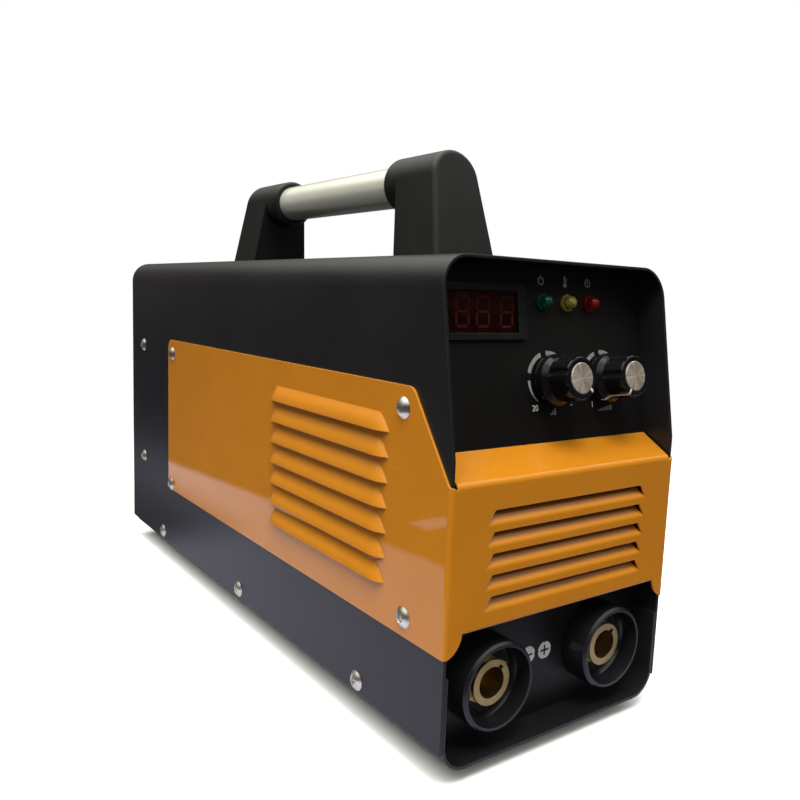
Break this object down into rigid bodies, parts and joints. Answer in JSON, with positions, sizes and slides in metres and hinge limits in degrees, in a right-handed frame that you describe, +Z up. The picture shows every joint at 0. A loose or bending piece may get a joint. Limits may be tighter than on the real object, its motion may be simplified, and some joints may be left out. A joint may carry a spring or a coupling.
{
  "type": "stick welding inverter",
  "caption": "Portable stick welding inverter in a sheet-metal case with a carrying handle, leaning control panel, louvred wrap-round guard and output sockets.",
  "frame": {"origin": "on the surface the feet stand on, under the middle of the case", "axes": "+Z up, the control side faces -Y, +X to the right as seen from the controls"},
  "size_m": [0.14, 0.3802, 0.2598],
  "materials": {
    "case_black": "satin black powder coat",
    "panel_black": "semi-gloss black enamel with white printed marks",
    "guard_orange": "gloss orange-yellow enamel",
    "handle_black": "fine-grained black moulding",
    "grip_chrome": "polished tube",
    "socket_black": "moulded black insulator",
    "brass": "turned brass",
    "zinc_steel": "zinc-plated steel",
    "copper": "rolled copper strap",
    "knob_black": "polished black moulding",
    "cap_aluminium": "spun face",
    "shaft_steel": "ground steel",
    "pot_metal": "plated can",
    "lamp_green": "tinted lens",
    "lamp_amber": "tinted lens",
    "lamp_red": "tinted lens",
    "bezel_black": "moulded frame",
    "lens_red": "dark red tinted window",
    "digit_red": "unlit segment display",
    "board_green": "solder mask",
    "sink_aluminium": "extruded",
    "package_black": "moulded package",
    "ferrite": "sintered ferrite",
    "winding": "taped copper winding",
    "can_sleeve": "shrink sleeve over an aluminium can",
    "fan_black": "moulded",
    "wire_chrome": "bright wire",
    "switch_black": "moulded",
    "rocker_red": "moulded, translucent red",
    "gland_black": "nylon",
    "seal_rubber": "soft rubber",
    "foot_rubber": "hard rubber"
  },
  "bodies": {
    "case": {"cover": "case_black", "base_tray": "case_black", "front_panel": "panel_black", "rear_panel": "case_black", "front_guard": "guard_orange", "handle_post_front": "handle_black", "handle_post_rear": "handle_black", "handle_tube": "grip_chrome", "handle_bolts": "zinc_steel", "socket_housing_minus": "socket_black", "socket_housing_plus": "socket_black", "socket_insert_minus": "brass", "socket_insert_plus": "brass", "socket_rings": "socket_black", "socket_nuts": "zinc_steel", "busbar_minus": "copper", "busbar_plus": "copper", "current_pot": "pot_metal", "force_pot": "pot_metal", "pot_nuts": "zinc_steel", "power_lamp": "lamp_green", "heat_lamp": "lamp_amber", "fault_lamp": "lamp_red", "display_bezel": "bezel_black", "display_lens": "lens_red", "digit_module": "digit_red", "control_board": "board_green", "board_standoffs": "brass", "main_board": "board_green", "board_posts": "brass", "heat_sink_left": "sink_aluminium", "heat_sink_right": "sink_aluminium", "power_transistors": "package_black", "transformer_core": "ferrite", "transformer_winding": "winding", "bulk_capacitors": "can_sleeve", "output_choke": "winding", "fan_frame": "fan_black", "fan_grille": "wire_chrome", "fan_screws": "zinc_steel", "power_switch_body": "switch_black", "gland_body": "gland_black", "gland_seal": "seal_rubber", "gland_nut": "gland_black", "gland_locknut": "gland_black", "earth_stud": "brass", "earth_nut": "brass", "rubber_feet": "foot_rubber", "foot_screws": "zinc_steel", "panel_screws": "zinc_steel", "guard_screws": "zinc_steel", "cover_screws": "zinc_steel"},
    "current_dial": {"current_knob": "knob_black", "current_knob_cap": "cap_aluminium", "current_pot_shaft": "shaft_steel"},
    "force_dial": {"force_knob": "knob_black", "force_knob_cap": "cap_aluminium", "force_pot_shaft": "shaft_steel"},
    "fan": {"fan_rotor": "fan_black"},
    "rocker": {"power_switch_rocker": "rocker_red"}
  },
  "joints": [
    {"name": "current_dial_turn", "type": "hinge", "parent": "case", "child": "current_dial", "pos_m": [0.0013, -0.17027, 0.15586], "axis": [0, 0.9869, -0.1616], "range_deg": [-283, 17]},
    {"name": "force_dial_turn", "type": "hinge", "parent": "case", "child": "force_dial", "pos_m": [0.0352, -0.17027, 0.15586], "axis": [0, 0.9869, -0.1616], "range_deg": [0, 300]},
    {"name": "fan_spin", "type": "hinge", "parent": "case", "child": "fan", "pos_m": [0, 0.155, 0.072], "axis": [0, 1, 0], "continuous": true},
    {"name": "power_rocker_tilt", "type": "hinge", "parent": "case", "child": "rocker", "pos_m": [-0.03, 0.17, 0.17], "axis": [1, 0, 0], "range_deg": [0, 16]}
  ]
}
